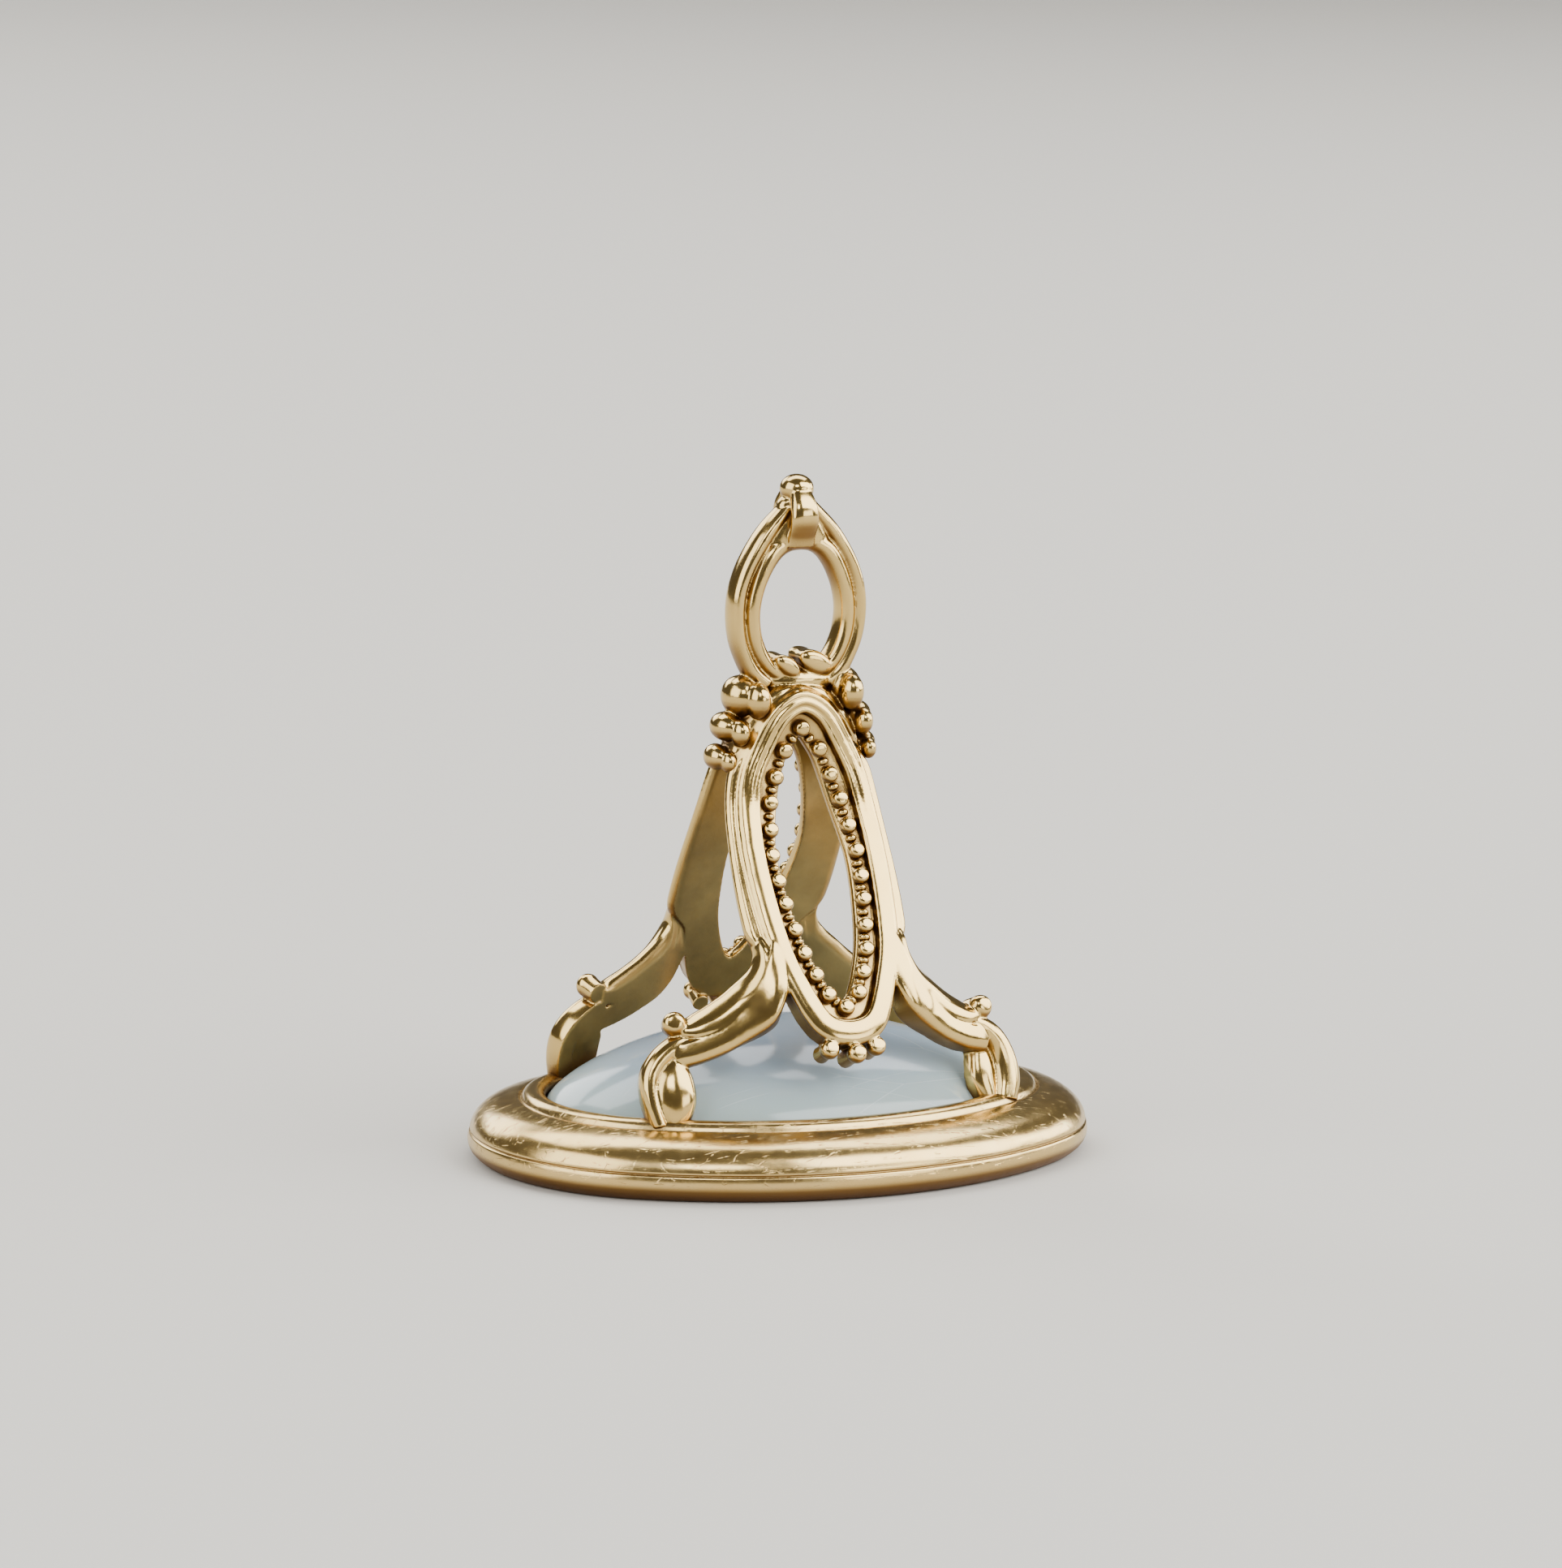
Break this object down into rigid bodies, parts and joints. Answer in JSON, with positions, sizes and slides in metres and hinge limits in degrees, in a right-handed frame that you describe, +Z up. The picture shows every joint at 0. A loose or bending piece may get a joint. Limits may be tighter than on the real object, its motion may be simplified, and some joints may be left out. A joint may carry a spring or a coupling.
{
  "type": "fob seal",
  "caption": "Antique-style gold fob seal with a domed pale blue-grey stone, pierced beaded arches, scrolled legs and a pointed bail with a ball finial.",
  "frame": {"origin": "centre of the base oval at the level of its lower rim", "axes": "+Z up along the seal's axis, +X along the base's long axis, -Y towards the front pierced plate"},
  "size_m": [0.028, 0.0206, 0.0296],
  "materials": {
    "gold": "polished",
    "stone": "polished"
  },
  "bodies": {
    "root": {"gold_mount": "gold", "seal_stone": "stone"}
  },
  "joints": []
}
